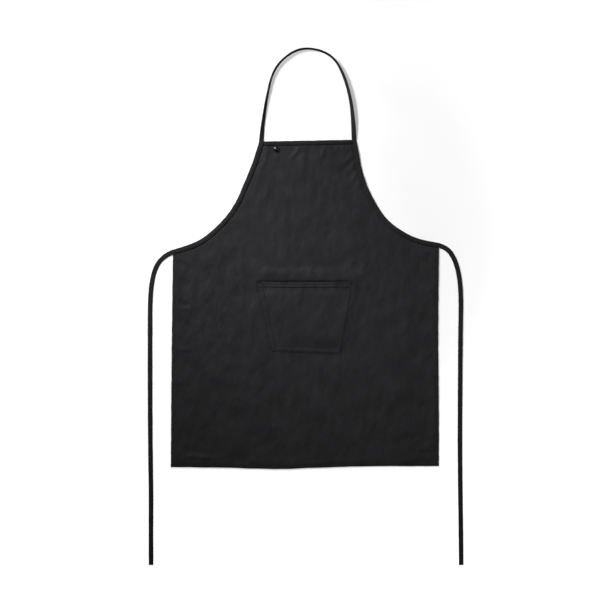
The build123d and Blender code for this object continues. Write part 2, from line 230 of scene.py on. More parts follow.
def twill_material():
    """Black cotton twill: steep diagonal ribs crossed by fine yarns, with slubs and a faint bloom."""
    nodes = Surface("black_twill", 0.62, 0.05)
    ribs = nodes.waves(nodes.turned(-27), 1.0, 0.6)
    yarns = nodes.waves(nodes.turned(90), 0.55, 0.4)
    slubs = nodes.noise(2.2, 3.0, nodes.turned(0, (1.0, 0.12, 1.0)))
    weave = nodes.weighted((ribs, 0.7), (yarns, 0.3))
    streaks = nodes.noise(4.5, 3.0, nodes.turned(0, (1.0, 0.35, 1.0)))
    cloudy = nodes.noise(60.0, 5.0)
    tone = nodes.weighted((cloudy, 0.4), (slubs, 0.15), (weave, 0.15), (streaks, 0.3))
    colour = nodes.ramp(tone, [(0.4, (0.0097, 0.0094, 0.0103)), (0.6, (0.0142, 0.0138, 0.0150))])
    nodes.drive("Base Color", colour)
    relief = nodes.weighted((slubs, 0.6), (streaks, 1.6))
    nodes.bump(nodes.math("ADD", weave, relief), 0.09, 0.8)
    nodes.fix("Sheen Weight", 0.035)
    nodes.fix("Sheen Roughness", 0.5)
    return nodes.material


def tape_material():
    """Black cotton tape, folded and pressed: two crossing fine ribs and a little fuzz."""
    nodes = Surface("black_tape", 0.85, 0.06)
    ribs = nodes.waves(nodes.turned(45), 0.7, 0.5)
    cross = nodes.waves(nodes.turned(-45), 0.7, 0.5)
    weave = nodes.math("MULTIPLY", ribs, cross)
    fuzz = nodes.noise(1.4, 3.0)
    tone = nodes.weighted((nodes.noise(40.0, 3.0), 0.6), (fuzz, 0.4))
    colour = nodes.ramp(tone, [(0.3, (0.0092, 0.0091, 0.0096)), (0.7, (0.0134, 0.0133, 0.0139))])
    nodes.drive("Base Color", colour)
    nodes.bump(nodes.math("ADD", weave, nodes.math("MULTIPLY", fuzz, 0.5)), 0.07, 0.7)
    return nodes.material


def thread_material():
    """Black polyester sewing thread, twisted, with a slight shine."""
    nodes = Surface("black_thread", 0.6, 0.08)
    twist = nodes.waves(nodes.turned(30), 0.35)
    colour = nodes.ramp(twist, [(0.0, (0.0022, 0.0022, 0.0024)), (1.0, (0.0055, 0.0055, 0.0058))])
    nodes.drive("Base Color", colour)
    nodes.bump(twist, 0.04)
    return nodes.material


def enamel_material():
    """Glossy black enamel on the stud's cap, with the finest orange peel and a few scuffs."""
    nodes = Surface("black_enamel", 0.26, 0.34)
    scuffs = nodes.noise(0.9, 5.0)
    colour = nodes.ramp(scuffs, [(0.35, (0.0010, 0.0010, 0.0010)), (0.8, (0.0030, 0.0030, 0.0032))])
    nodes.drive("Base Color", colour)
    rough = nodes.math("ADD", nodes.math("MULTIPLY", scuffs, 0.08), 0.21)
    nodes.drive("Roughness", rough)
    nodes.bump(nodes.noise(0.6, 2.0), 0.01, 0.4)
    return nodes.material


def metal_material(name, bright, dull, roughness):
    """Bare pressed metal with dull patches and fine marks."""
    nodes = Surface(name, roughness, 0.5)
    patches = nodes.noise(1.6, 4.0)
    nodes.drive("Base Color", nodes.ramp(patches, [(0.3, dull), (0.7, bright)]))
    rough = nodes.math("ADD", nodes.math("MULTIPLY", patches, 0.25), roughness - 0.1)
    nodes.drive("Roughness", rough)
    nodes.bump(nodes.noise(0.3, 3.0), 0.01, 0.5)
    nodes.fix("Metallic", 1.0)
    return nodes.material


def floor_material():
    """A white table, lit from below towards its edges, where the lamps over the apron don't reach."""
    nodes = Surface("white_floor", 1.0, 0.0)
    colour = nodes.ramp(nodes.noise(400.0, 2.0), [(0.0, (0.61, 0.61, 0.61)), (1.0, (0.63, 0.63, 0.63))])
    nodes.drive("Base Color", colour)
    gap = nodes.add("ShaderNodeVectorMath", operation="DISTANCE")
    gap.inputs[1].default_value = GLOW_CENTRE
    nodes.link(nodes.place, gap.inputs[0])
    share = nodes.math("MULTIPLY", gap.outputs["Value"], 1 / GLOW_REACH)
    glow = nodes.ramp(share, [(place, (level, level, level)) for place, level in FLOOR_GLOW])
    nodes.drive("Emission Color", glow)
    nodes.fix("Emission Strength", 1.0)
    return nodes.material


TWILL = twill_material()
TAPE = tape_material()
THREAD = thread_material()
ENAMEL = enamel_material()
BRASS = metal_material("stud_brass", (0.62, 0.47, 0.24), (0.38, 0.27, 0.13), 0.34)
STEEL = metal_material("spring_steel", (0.58, 0.57, 0.55), (0.36, 0.35, 0.34), 0.28)


# ---- mesh helpers ----

def make_object(name, vertices_mm, faces, material):
    """A smooth-shaded closed piece, with its faces turned outwards."""
    mesh = bpy.data.meshes.new(name)
    mesh.from_pydata((np.asarray(vertices_mm, float) * MM).tolist(), [], faces)
    form = bmesh.new()
    form.from_mesh(mesh)
    bmesh.ops.recalc_face_normals(form, faces=form.faces)
    form.to_mesh(mesh)
    form.free()
    mesh.materials.append(material)
    mesh.update()
    mesh.shade_smooth()
    return placed(name, mesh)


def joined(parts):
    """Several (vertices, faces) pairs as one."""
    vertices, faces, start = [], [], 0
    for points, polygons in parts:
        vertices.append(np.asarray(points, float))
        faces.extend([[i + start for i in face] for face in polygons])
        start += len(points)
    return np.vstack(vertices), faces


def tube(rings, closed=False):
    """Rings of points (stations, points round, 3) skinned into a closed form."""
    rings = np.asarray(rings, float)
    stations, around = rings.shape[:2]
    index = np.arange(stations * around).reshape(stations, around)
    following = np.roll(index, -1, axis=1)
    last = stations if closed else stations - 1
    faces = []
    for i in range(last):
        j = (i + 1) % stations
        faces += np.stack([index[i], following[i], following[j], index[j]], axis=1).tolist()
    if not closed:
        faces.append(index[0][::-1].tolist())
        faces.append(index[-1].tolist())
    return rings.reshape(-1, 3), faces


def smooth(t):
    """Eases from 0 to 1 as t does."""
    t = np.clip(t, 0.0, 1.0)
    return t * t * (3 - 2 * t)


def bell(gap, width):
    """One in the middle, dying away to nought within about two widths."""
    return np.exp(-(gap / width) ** 2)


def unit(v):
    """The same direction, or row of directions, one long."""
    v = np.asarray(v, float)
    return v / np.maximum(np.linalg.norm(v, axis=-1, keepdims=True), 1e-12)


def wander(t, length, seed, octaves=3):
    """Smooth unevenness along a line, about -1 to 1, with the given typical length."""
    draw = np.random.default_rng(seed)
    total = np.zeros_like(np.asarray(t, float))
    for k in range(octaves):
        wave = length * draw.uniform(0.6, 1.7) / (1.6 ** k)
        total += np.sin(2 * np.pi * t / wave + draw.uniform(0, 2 * np.pi)) / (1.5 ** k)
    return total / 1.8


def even(line, spacing):
    """The same line with its points evenly spaced."""
    line = np.asarray(line, float)
    run = travelled(line)
    count = max(2, int(round(run[-1] / spacing)) + 1)
    at = np.linspace(0, run[-1], count)
    return np.stack([np.interp(at, run, line[:, k]) for k in range(line.shape[1])], axis=1)


def travelled(line):
    """How far along a line each of its points is."""
    return np.concatenate([[0], np.cumsum(np.linalg.norm(np.diff(line, axis=0), axis=1))])


ARC_POINTS = 24


def rounded(points, roundness, spacing):
    """Straight runs joined by tangent arcs, sampled evenly."""
    points = np.asarray(points, float)
    line = [points[0]]
    for before, here, after in zip(points, points[1:], points[2:]):
        back, on = unit(before - here), unit(after - here)
        trim = roundness * min(np.linalg.norm(before - here), np.linalg.norm(after - here))
        half = math.acos(np.clip(back @ on, -1, 1)) / 2
        centre = here + unit(back + on) * trim / math.cos(half)
        start, end = here + back * trim - centre, here + on * trim - centre
        sweep = math.pi - 2 * half
        for share in np.linspace(0, 1, ARC_POINTS):
            arm = start * math.sin((1 - share) * sweep) + end * math.sin(share * sweep)
            line.append(centre + arm / math.sin(sweep))
    line.append(points[-1])
    return even(line, spacing)


def inward(line):
    """Unit normals of an edge of the apron, into the cloth."""
    along = unit(np.gradient(line, axis=0))
    across = np.stack([along[:, 1], -along[:, 0]], axis=1)
    middle = len(line) // 2
    return across if across[middle] @ -line[middle] > 0 else -across


EDGE_STEP = 2.5
SIDE_ROUNDNESS = 0.45
LEFT_EDGE = rounded(LEFT_ARMHOLE, ARMHOLE_ROUNDNESS, EDGE_STEP)
RIGHT_EDGE = rounded(RIGHT_ARMHOLE, ARMHOLE_ROUNDNESS, EDGE_STEP)
TOP_EDGE = even([BIB_LEFT, BIB_RIGHT], EDGE_STEP)
LEFT_SIDE = rounded([SIDE_LEFT, *LEFT_SIDE_POINTS, HEM_LINE[0]], SIDE_ROUNDNESS, EDGE_STEP)
RIGHT_SIDE = rounded([SIDE_RIGHT, *RIGHT_SIDE_POINTS, HEM_LINE[-1]], SIDE_ROUNDNESS, EDGE_STEP)
BOTTOM_EDGE = rounded(HEM_LINE, SIDE_ROUNDNESS, EDGE_STEP)


# ---- how the cloth lies ----

STUD = np.array([v * 1000 for v in (sum(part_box("snap_socket"), Vector()) / 2)[:2]])
STUD_RISE = 2.0                          # how far the cloth stands up over the stud's socket


def nearest(points, line):
    """Distance from each point to a line, and how far along the line that is."""
    best = np.full(len(points), 1e9)
    where = np.zeros(len(points))
    run = travelled(line)
    for (a, b), start in zip(zip(line, line[1:]), run):
        along = b - a
        length = np.linalg.norm(along)
        t = np.clip(((points - a) @ along) / length ** 2, 0, 1)
        gap = np.linalg.norm(points - (a + t[:, None] * along), axis=1)
        closer = gap < best
        best[closer] = gap[closer]
        where[closer] = start + t[closer] * length
    return best, where / run[-1]


def inside(points, polygon):
    """Which points lie inside a closed outline."""
    result = np.zeros(len(points), bool)
    for a, b in zip(polygon, np.roll(polygon, -1, axis=0)):
        crosses = (a[1] > points[:, 1]) != (b[1] > points[:, 1])
        rise = b[1] - a[1] if abs(b[1] - a[1]) > 1e-12 else 1e-12
        result ^= crosses & (points[:, 0] < (b[0] - a[0]) * (points[:, 1] - a[1]) / rise + a[0])
    return result


# Named folds: (line in mm, height, half width). Light falls from the upper left, so a
# fold shows as a light side above and a dark side below.
FOLDS = [
    # bib, below the top binding
    ([(-14, 414), (-22, 398), (-34, 382)], 3.2, 5.0),
    ([(-3, 412), (-8, 399)], 1.8, 4.0),
    ([(49, 414), (47, 396), (46, 378)], 2.4, 4.5),
    ([(82, 411), (84, 400)], 1.8, 4.5),
    ([(93, 413), (104, 405), (119, 403)], 3.2, 6.0),
    ([(-4, 398), (-5, 372), (-3, 345)], 2.0, 7.0),
    ([(-78, 391), (-70, 384)], 1.5, 7.0),
    ([(-98, 408), (-103, 384), (-111, 360)], 1.7, 4.0),
    ([(-108, 396), (-113, 375)], 1.0, 3.0),
    # running in from the right armhole
    ([(124, 392), (113, 377), (98, 364)], 2.1, 6.0),
    ([(133, 372), (119, 352), (104, 340)], 1.5, 6.0),
    ([(137, 344), (128, 333), (125, 318)], 2.2, 5.0),
    ([(150, 318), (128, 296), (96, 280)], 1.1, 9.0),
    ([(176, 262), (148, 240), (112, 228)], 0.8, 10.0),
    # running in from the left armhole
    ([(-142, 350), (-118, 330), (-96, 318)], 1.0, 8.0),
    ([(-186, 236), (-160, 214), (-128, 204)], 0.8, 10.0),
    # above the pocket's mouth
    ([(92, 78), (112, 97), (137, 118)], 1.3, 9.0),
    ([(142, 70), (150, 88), (156, 106)], 1.3, 6.0),
    # outside the pocket's left side
    ([(-133, 30), (-120, -30), (-108, -84)], 0.8, 8.0),
    # left side hem
    ([(-330, 128), (-322, 114), (-309, 106)], 2.0, 6.0),
    ([(-334, 104), (-336, 84), (-333, 70)], 1.3, 5.0),
    ([(-332, 24), (-322, 10), (-305, 4)], 1.6, 5.5),
    ([(-331, -8), (-318, -13), (-296, -10)], 1.7, 6.0),
    ([(-333, -87), (-322, -86)], 0.9, 4.5),
    ([(-332, -117), (-318, -121), (-300, -119)], 1.7, 5.5),
    ([(-334, -205), (-316, -209)], 1.0, 6.0),
    ([(-335, -300), (-312, -306)], 0.9, 7.0),
    # right side
    ([(296, 143), (310, 136), (329, 131)], 1.7, 6.0),
    ([(300, 128), (318, 118)], 1.2, 5.0),
    ([(272, 24), (266, -50), (262, -136)], 1.3, 15.0),
    ([(334, 40), (320, 34)], 1.0, 6.0),
    ([(332, -130), (316, -136)], 1.0, 6.0),
    # bottom hem
    ([(-322, -403), (-296, -398), (-262, -404), (-236, -402)], 2.2, 6.0),
    ([(-330, -372), (-306, -366), (-280, -372)], 0.9, 9.0),
    ([(284, -404), (306, -398), (332, -404)], 1.4, 6.5),
    ([(298, -384), (318, -376), (334, -380)], 1.0, 7.0),
    ([(-140, -408), (-112, -412)], 0.7, 6.0),
    ([(60, -410), (96, -407)], 0.6, 7.0),
]

BROAD_WAVES = 9
BROAD_HEIGHT = 0.34
MEAN_LIFT = 1.45
LEFT_SIDE_EXTRA = 0.7                    # how much more the cloth's left side is rumpled


def folds_at(points):
    """Height that the named folds add."""
    total = np.zeros(len(points))
    for corners, height, width in FOLDS:
        line = even(bent(corners), 4.0)
        low, high = line.min(axis=0) - 3 * width, line.max(axis=0) + 3 * width
        near = np.all((points > low) & (points < high), axis=1)
        gap, share = nearest(points[near], line)
        taper = smooth(share / 0.3) * smooth((1 - share) / 0.3)
        ends = 0.25 + 0.75 * taper
        total[near] += height * ends * bell(gap, width)
    return total


def bent(corners):
    """A few points as a smooth curve."""
    if len(corners) < 3:
        return np.asarray(corners, float)
    return rounded(corners, 0.49, 3.0)


TURN = np.array([[0.94, 0.34], [-0.34, 0.94]])    # about 20 degrees


def patchy(points, size, seed):
    """Smooth random rise and fall between about -1 and 1; size is the patches' (x, y) in mm."""
    table = np.random.default_rng(seed).uniform(0, 2 * np.pi, (64, 64))
    place = points / np.asarray(size, float)
    cell = np.floor(place).astype(int)
    step = place - cell
    ease = step ** 3 * (step * (step * 6 - 15) + 10)
    total = np.zeros(len(points))
    for i in (0, 1):
        for j in (0, 1):
            angle = table[(cell[:, 0] + i) % 64, (cell[:, 1] + j) % 64]
            push = np.cos(angle) * (step[:, 0] - i) + np.sin(angle) * (step[:, 1] - j)
            total += push * np.abs(1 - i - ease[:, 0]) * np.abs(1 - j - ease[:, 1])
    return 1.6 * total


def unevenness_at(points):
    """The slight rise and fall of cloth that has been folded and smoothed out again."""
    draw = np.random.default_rng(7)
    total = np.zeros(len(points))
    for k in range(BROAD_WAVES):
        length = draw.uniform(70, 260)
        angle = draw.uniform(0, np.pi)
        direction = np.array([math.cos(angle), math.sin(angle)])
        phase = draw.uniform(0, 2 * np.pi)
        total += length / 260 * np.sin(2 * np.pi * points @ direction / length + phase)
    strength = 0.88 + 0.12 * smooth((points[:, 1] + 80) / 200)
    left_side = smooth((-points[:, 0] - 110) / 90) * smooth((170 - np.abs(points[:, 1])) / 120)
    strength = strength + LEFT_SIDE_EXTRA * left_side
    fine = 1.3 * patchy(points, (22, 42), 51) + 0.45 * patchy(points @ TURN, (11, 19), 52)
    return MEAN_LIFT + BROAD_HEIGHT * total + strength * fine


# (edge, where the cloth leaves its hem or binding, ripple height, groove's inset, depth and width)
SEAM_LINES = [
    (LEFT_SIDE, SIDE_HEM, 0.24, HEM_SEAM, 0.26, 0.9),
    (RIGHT_SIDE, SIDE_HEM, 0.24, HEM_SEAM, 0.26, 0.9),
    (BOTTOM_EDGE, BOTTOM_HEM, 0.28, HEM_SEAM, 0.26, 0.9),
    (LEFT_EDGE, TAPE_WIDTH, 0.2, TAPE_WIDTH + 0.5, 0.0, 1.0),
    (RIGHT_EDGE, TAPE_WIDTH, 0.2, TAPE_WIDTH + 0.5, 0.0, 1.0),
    (TOP_EDGE, TOP_BINDING_WIDTH, 0.5, TOP_BINDING_WIDTH + 0.5, 0.0, 1.0),
]
# (bound edge, where the tape ends, how far the cloth drops there, over what run it rises again)
BOUND_EDGES = [
    (LEFT_EDGE, TAPE_WIDTH - 0.6, 1.9, 1.2),
    (RIGHT_EDGE, TAPE_WIDTH - 0.6, 1.4, 2.0),
    (TOP_EDGE, TOP_BINDING_WIDTH - 0.7, 1.7, 1.2),
]
BINDING_GAP = 2.7                        # how wide the low strip beside a binding is
HEM_SETTLE = 0.5
TOP_SETTLE = 0.5                         # how far the bib falls away below its top binding


def puckers_at(points):
    """Short ripples across each seam, where the thread has drawn the cloth up."""
    total = np.zeros(len(points))
    for number, (line, inset, height, *_) in enumerate(SEAM_LINES):
        gap, share = nearest(points, even(line, 12.0))
        length = travelled(line)[-1]
        along = share * length
        ripple = np.sin(2 * np.pi * along / 11.5 + 2.6 * wander(along, 75.0, 40 + number))
        strength = 0.55 + 0.45 * wander(along, 120.0, 60 + number)
        reach = bell(gap - inset, np.where(gap > inset, 9.0, 5.0))
        total += height * ripple * strength * reach
    return total


QUIET_SPOTS = [STUD, np.array(SIDE_LEFT), np.array(SIDE_RIGHT), np.array(BIB_LEFT), np.array(BIB_RIGHT)]


def quiet_at(points, radius):
    """Nought at the stud and at the tapes' fold lines, one away from them."""
    calm = np.ones(len(points))
    for spot in QUIET_SPOTS:
        calm *= smooth(np.linalg.norm(points - spot, axis=1) / radius)
    return calm


def lift_at(points):
    """How far above its flat CAD height the cloth lies."""
    points = np.asarray(points, float)
    waves = unevenness_at(points) + folds_at(points) + puckers_at(points)
    firm = np.ones(len(points))
    for lines, least in ((SEAM_LINES[:3], 0.25), (SEAM_LINES[3:], 0.8)):
        edge = np.min([nearest(points, even(line, 12.0))[0] for line, *_ in lines], axis=0)
        firm *= least + (1 - least) * smooth(edge / 20.0)
    return np.maximum(waves, 0.0) * firm * quiet_at(points, 24.0)


def settle_at(points):
    """The cloth drops beside each binding and settles inside each hem, where the seam draws a groove."""
    relief = np.zeros(len(points))
    for line, inset, _, groove, depth, width in SEAM_LINES[:3]:
        gap = nearest(points, even(line, 5.0))[0]
        relief -= depth * bell(gap - groove, width)
        relief -= HEM_SETTLE * smooth((gap - inset) / 14.0) * (1 - smooth((gap - 30.0) / 60.0))
    for line, inset, drop, run in BOUND_EDGES:
        gap = nearest(points, even(line, 5.0))[0]
        relief -= drop * smooth((gap - inset + 0.6) / 1.0) * (1 - smooth((gap - inset - BINDING_GAP) / run))
    below = nearest(points, even(TOP_EDGE, 5.0))[0]
    relief -= TOP_SETTLE * smooth((below - 10.5) / 7.0) * (1 - smooth((below - 26.0) / 30.0))
    return relief * quiet_at(points, 16.0) - pocket_valley_at(points)


def left_of(a, b):
    """Unit vector to the left of the way from a to b."""
    along = unit(b - a)
    return np.array([-along[1], along[0]])


def pocket_inset(points):
    """Distances inwards from the pocket's left side, bottom, right side and mouth."""
    found = []
    for a, b in zip(POCKET, np.roll(POCKET, -1, axis=0)):
        found.append((points - a) @ left_of(a, b))
    return found


VALLEY_DEPTH = 1.3                       # along the pocket's left side
VALLEY_RUN = 2.6                         # its width outside the pocket
VALLEY_REACH = 24.0                      # and behind it
SHELF_HEIGHT = 2.3                       # rise of the cloth towards the pocket's right side
SHELF_RUN = 21.0


def pocket_valley_at(points):
    """How far the cloth lies lower along the pocket's left side, less how far it stands up at the right."""
    gap = nearest(points, POCKET[:2])[0]
    left, _, right, _ = pocket_inset(points)
    below_mouth = 1 - smooth((points[:, 1] - POCKET[0][1] + 2) / 6)
    valley = np.where(left > 0, 1 - smooth(gap / VALLEY_REACH), bell(gap, VALLEY_RUN))
    shelf = smooth((points[:, 0] + 100) / 200) * (1 - smooth(-right / SHELF_RUN))
    shelf *= smooth((points[:, 1] + 132) / 40) * smooth((92 - points[:, 1]) / 30)
    return VALLEY_DEPTH * valley * below_mouth - SHELF_HEIGHT * shelf


MOUTH_Y = 58.0
RIDGE_Y = 79.0                           # crest of the fold above the pocket's mouth
RIDGE_TOP_Y = 99.0
RIDGE_HEIGHT = 3.2
LIP_DROP = 1.6                           # how far the cloth drops just before it goes behind the pocket
LIP_RUN = 2.8


def mouth_fold_at(points):
    """The long fold above the pocket, steeper below its crest, and the drop at the pocket's mouth."""
    x, y = points[:, 0], points[:, 1] - 1.6 * wander(points[:, 0], 95.0, 31)
    strength = smooth((x + 136) / 26) * (0.32 + 0.68 * smooth((92 - x) / 70)) * smooth((134 - x) / 30)
    strength = strength * (0.86 + 0.14 * wander(x, 55.0, 30))
    above = smooth((RIDGE_TOP_Y - y) / (RIDGE_TOP_Y - RIDGE_Y))
    below = 1 - np.clip((RIDGE_Y - y) / (RIDGE_Y - MOUTH_Y + 1), 0, 1) ** 2
    fold = RIDGE_HEIGHT * strength * np.where(y > RIDGE_Y, above, below)
    across = smooth((128 - np.abs(points[:, 0])) / 8)
    rise = points[:, 1] - MOUTH_Y
    lip = LIP_DROP * across * (1 - smooth(rise / LIP_RUN)) * smooth((rise + 40) / 20)
    return fold, lip


def stud_rise_at(points):
    """The cloth stands over the socket behind it, with a few small tucks round its foot."""
    offset = points - STUD
    gap = np.linalg.norm(offset, axis=1)
    angle = np.arctan2(offset[:, 1], offset[:, 0])
    foot = 11.0 + 1.2 * np.sin(3 * angle + 0.7) + 0.9 * np.sin(7 * angle)
    return STUD_RISE * smooth((foot - gap) / (foot - 6.8))


def drift_at(points):
    """Small sideways shifts, so that no edge is quite straight."""
    x = 0.2 * wander(points[:, 1], 210.0, 11) + 0.25 * wander(points[:, 1] + 0.3 * points[:, 0], 60.0, 12)
    y = 0.2 * wander(points[:, 0], 240.0, 13) + 0.25 * wander(points[:, 0] - 0.2 * points[:, 1], 70.0, 14)
    return np.stack([x, y], axis=1) * quiet_at(points, 70.0)[:, None]


def laid(points, sinking=False):
    """Flat places (x, y, z) as they lie in the cloth."""
    points = np.asarray(points, float)
    flat = points[:, :2]
    height = lift_at(flat)
    if sinking:
        fold, lip = mouth_fold_at(flat)
        height = height + settle_at(flat) + stud_rise_at(flat) + fold - lip
    return np.column_stack([flat + drift_at(flat), points[:, 2] + height])


# ---- the free tapes ----

def spline_line(name, route):
    """Points along the NURBS curve whose control points are the route, in metres."""
    curve = bpy.data.curves.new(name, "CURVE")
    curve.dimensions = "3D"
    spline = curve.splines.new("NURBS")
    spline.points.add(len(route) - 1)
    for point, place in zip(spline.points, route):
        point.co = (place[0] * MM, place[1] * MM, place[2] * MM, 1)
    spline.order_u = 3
    spline.use_endpoint_u = True
    spline.resolution_u = 40
    guide = placed(name, curve)
    mesh = bpy.data.meshes.new_from_object(guide)
    line = np.array([v.co for v in mesh.vertices], float)
    bpy.data.objects.remove(guide)
    bpy.data.meshes.remove(mesh)
    return line


SEAM_SHARE = -0.755                      # where a tape's seam runs, as a share of its half width
TAPE_STOPS = [
    -1.0, -0.992, -0.965, -0.92, -0.86, -0.80, SEAM_SHARE, -0.70, -0.5, -0.2,
    0.15, 0.5, 0.75, 0.88, 0.95, 0.985, 1.0,
]


def tape_profile():
    """The folded tape's section, (across, up) in mm: thin pressed edges and a stitched groove."""
    half = TAPE_WIDTH / 2
    top = []
    for share in TAPE_STOPS:
        round_off = math.sqrt(max(0.0, 1 - abs(share) ** 9))
        crown = 0.80 - 0.16 * share ** 2
        groove = 0.16 * math.exp(-((share - SEAM_SHARE) / 0.05) ** 2)
        top.append((half * share, max(crown * round_off - groove, 0.0)))
    bottom = [(across, -up) for across, up in top[1:-1]][::-1]
    return np.array(top + bottom)


TAPE_PROFILE = tape_profile()
GROOVE = SEAM_SHARE * TAPE_WIDTH / 2
SEAM_HEIGHT = 0.52                       # of a tape's stitches over its middle
LEAN_TREMBLE = 0.05


def tape_frames(line, side, seed):
    """At each point of a tape's line: which way its width and its face point."""
    along = unit(np.gradient(line, axis=0))
    sideways = unit(np.column_stack([along[:, 1], -along[:, 0], np.zeros(len(line))])) * side
    share = (line[:, 2] / MM - FLAT_CENTRE) / (EDGE_CENTRE - FLAT_CENTRE)
    run = travelled(line / MM)
    lean = np.arcsin(np.clip(share, 0, 1))
    tremble = LEAN_TREMBLE * wander(run, 130.0, seed) * smooth(run / 60) * smooth((run[-1] - run) / 60)
    lean = lean + tremble * (lean > 0.02)
    across = sideways * np.cos(lean)[:, None] + np.array([0, 0, 1]) * np.sin(lean)[:, None]
    return across, unit(np.cross(across, along)) * -side, run


TUCK = 0.004                             # how far a tape's root runs on inside the binding, in metres


def tucked(line, at_end):
    """The line with its root, and its far end where that is sewn in too, run on into the binding."""
    places = [line[0] - unit(line[1] - line[0]) * TUCK, *line]
    if at_end:
        places.append(line[-1] + unit(line[-1] - line[-2]) * TUCK)
    return np.array(places)


def build_tape(name, line, side, seed):
    """A folded tape skinned along its line, with slight changes of width and small ripples."""
    across, face, run = tape_frames(line, side, seed)
    if face[len(face) // 2][2] < 0:
        face = -face
    width = 1 + 0.022 * wander(run, 90.0, seed + 1) + 0.008 * wander(run, 9.0, seed + 2)
    thick = 1 + 0.06 * wander(run, 16.0, seed + 3) + 0.05 * wander(run, 5.0, seed + 4)
    thick = thick * (1 - 0.35 * smooth(1 - (run[-1] - run) / 1.2))
    rings = (line / MM)[:, None, :]
    rings = rings + across[:, None, :] * (TAPE_PROFILE[None, :, :1] * width[:, None, None])
    rings = rings + face[:, None, :] * (TAPE_PROFILE[None, :, 1:] * thick[:, None, None])
    rings[..., 2] = np.maximum(rings[..., 2], 0.02)
    vertices, faces = tube(rings)
    return make_object(name, vertices, faces, TAPE), across, face


# ---- stitches ----

STITCH_PITCH = 3.1
STITCH_LENGTH = 2.5
THREAD_RADIUS = 0.28
# (share of the stitch's length from its middle, height, share of the thread's radius)
STITCH_RINGS = [
    (-0.5, -0.30, 0.55), (-0.4, 0.02, 0.95), (-0.15, 0.16, 1.0),
    (0.15, 0.16, 1.0), (0.4, 0.02, 0.95), (0.5, -0.30, 0.55),
]


def stitch_row(line, up, pitch=STITCH_PITCH, length=STITCH_LENGTH, radius=THREAD_RADIUS, seed=0):
    """One small arched stitch after another along a line in space."""
    draw = np.random.default_rng(seed)
    run = travelled(line)
    count = max(1, int(run[-1] / pitch))
    parts = []
    centres = (np.arange(count) + 0.5) * run[-1] / count

    def at(values, t):
        return np.array([np.interp(t, run, values[:, k]) for k in range(3)])

    for centre in centres:
        size = length * draw.uniform(0.93, 1.05)
        shift = draw.uniform(-0.05, 0.05)
        along = unit(at(line, centre + 0.5) - at(line, centre - 0.5))
        normal = unit(at(up, centre))
        side = np.cross(normal, along)
        middle = at(line, centre) + side * shift
        rings = []
        for share, height, thickness in STITCH_RINGS:
            hub = middle + along * share * size + normal * height
            ring = [
                hub + radius * thickness * (side * math.cos(a) + normal * math.sin(a))
                for a in np.arange(6) * math.pi / 3
            ]
            rings.append(ring)
        parts.append(tube(rings))
    return joined(parts)


def upright(line, facing=1.0):
    """Straight up, or down, at each point of a line."""
    return np.tile([0.0, 0.0, facing], (len(line), 1))


def add_piece(name, node, form, material):
    """A piece that rides on the apron and the CAD node that it stands for."""
    piece = make_object(name, *form, material)
    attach(piece, "apron")
    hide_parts(node)
    return piece


def add_free_tape(name, node, route, side, seed, far_end, hinge_point):
    """A tape that hangs off the apron: its form and its stitches."""
    line = spline_line(name + "_route", route)
    tape, across, face = build_tape(name, tucked(line, far_end == "object"), side, seed)
    across, face = across[1:len(line) + 1], face[1:len(line) + 1]
    seam_line = line / MM + across * GROOVE + face * SEAM_HEIGHT
    back_line = line / MM + across * GROOVE - face * SEAM_HEIGHT
    vertices, faces = joined([
        stitch_row(seam_line, face, seed=seed),
        stitch_row(back_line, -face, seed=seed + 1),
    ])
    stitches = make_object(name + "_stitches", vertices, faces, THREAD)
    start = Vector((*hinge_point, FLAT_CENTRE)) * MM
    for piece, slot in ((tape, "tape"), (stitches, "thread")):
        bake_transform(piece)
    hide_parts(node)
    path = [tuple(p) for p in line]
    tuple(path[0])


add_free_tape("neck_loop", "neck_strap", NECK_STRAP_ROUTE, -1, 100,
              "object", BIB_LEFT)
add_free_tape("waist_tie_left", "left_waist_tie", LEFT_TIE_ROUTE, 1, 120,
              "bare", LEFT_TIE_ROUTE[0][:2])
add_free_tape("waist_tie_right", "right_waist_tie", RIGHT_TIE_ROUTE, -1, 140,
              "bare", RIGHT_TIE_ROUTE[0][:2])


# ---- the panel ----

PANEL_STEP = 4.0


def outline_points(step):
    """The apron's outline, anticlockwise from the bib's left corner, with each point's way inwards."""
    edges = [
        (even(LEFT_EDGE, step), SPINE),
        (even(LEFT_SIDE, step), HEM_NOSE),
        (even(BOTTOM_EDGE, step), HEM_NOSE),
        (even(RIGHT_SIDE, step)[::-1], HEM_NOSE),
        (even(RIGHT_EDGE, step)[::-1], SPINE),
        (even(TOP_EDGE, step)[::-1], SPINE),
    ]
    points, moves = [], []
    for k, (line, inset) in enumerate(edges):
        normals = inward(line) * inset
        before = edges[k - 1]
        corner = normals[0] + inward(before[0])[-1] * before[1]
        points.append(line[:-1])
        moves.append(np.vstack([corner[None], normals[1:-1]]))
    return np.vstack(points), np.vstack(moves)


SEAM_SHIFTS = [-3.6, -2.6, -1.7, -0.7, 0.3, 1.0, 1.6, 2.2, 2.8, 3.8, 5.6]
MOUTH_SHIFTS = [9.0, 6.5, 4.6, 3.4, 2.5, 1.7, 0.9, 0.1, -1.0, -2.8]
POCKET_SHIFTS = [-1.6, 0.0, 1.0, 2.0, 3.2, 4.8]
ROW_STEP = 2.8


